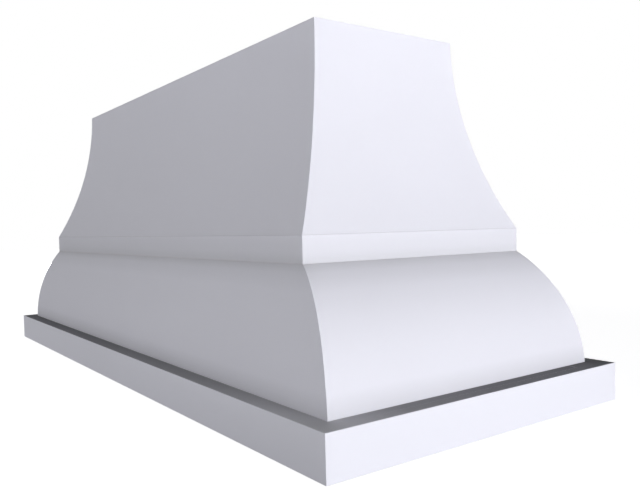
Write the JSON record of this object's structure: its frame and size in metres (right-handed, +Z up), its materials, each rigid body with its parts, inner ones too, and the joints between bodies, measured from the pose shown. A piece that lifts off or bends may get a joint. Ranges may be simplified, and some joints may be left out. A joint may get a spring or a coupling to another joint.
{
  "type": "range hood cover",
  "caption": "Painted wooden cover for an island range hood: flat apron and ledge, bulging skirt, neck band and hollow upper body on all four sides, over a frame of ribs and posts.",
  "frame": {"origin": "centre of the apron's underside", "axes": "+Z up to the ceiling, +X along the hood towards its right end, -Y towards the front"},
  "size_m": [1.524, 0.61, 0.628],
  "materials": {
    "painted_wood": "satin white paint over sanded wood and bent panels, bare inside",
    "birch_plywood": "bare birch plywood with its layers showing on cut edges",
    "poplar": "bare planed poplar",
    "zinc_steel": "zinc plated"
  },
  "bodies": {
    "root": {"apron_back": "painted_wood", "apron_front": "painted_wood", "apron_left": "painted_wood", "apron_right": "painted_wood", "base_rail_back": "painted_wood", "base_rail_front": "painted_wood", "base_rail_left": "painted_wood", "base_rail_right": "painted_wood", "base_screws": "zinc_steel", "body_panel_back": "painted_wood", "body_panel_front": "painted_wood", "body_panel_left": "painted_wood", "body_panel_right": "painted_wood", "body_post_back_left": "poplar", "body_post_back_right": "poplar", "body_post_front_left": "poplar", "body_post_front_right": "poplar", "body_rib_back_centre": "birch_plywood", "body_rib_back_left": "birch_plywood", "body_rib_back_right": "birch_plywood", "body_rib_front_centre": "birch_plywood", "body_rib_front_left": "birch_plywood", "body_rib_front_right": "birch_plywood", "body_rib_left": "birch_plywood", "body_rib_right": "birch_plywood", "corner_blocks": "poplar", "hanging_rail_left": "poplar", "hanging_rail_right": "poplar", "neck_band_back": "painted_wood", "neck_band_front": "painted_wood", "neck_band_left": "painted_wood", "neck_band_right": "painted_wood", "neck_rail_back": "birch_plywood", "neck_rail_front": "birch_plywood", "neck_rail_left": "birch_plywood", "neck_rail_right": "birch_plywood", "rail_screws": "zinc_steel", "skirt_panel_back": "painted_wood", "skirt_panel_front": "painted_wood", "skirt_panel_left": "painted_wood", "skirt_panel_right": "painted_wood", "skirt_post_back_left": "poplar", "skirt_post_back_right": "poplar", "skirt_post_front_left": "poplar", "skirt_post_front_right": "poplar", "skirt_rib_back_centre": "birch_plywood", "skirt_rib_back_left": "birch_plywood", "skirt_rib_back_right": "birch_plywood", "skirt_rib_front_centre": "birch_plywood", "skirt_rib_front_left": "birch_plywood", "skirt_rib_front_right": "birch_plywood", "skirt_rib_left": "birch_plywood", "skirt_rib_right": "birch_plywood", "top_rail_back": "poplar", "top_rail_front": "poplar", "top_rail_left": "poplar", "top_rail_right": "poplar"}
  },
  "joints": []
}
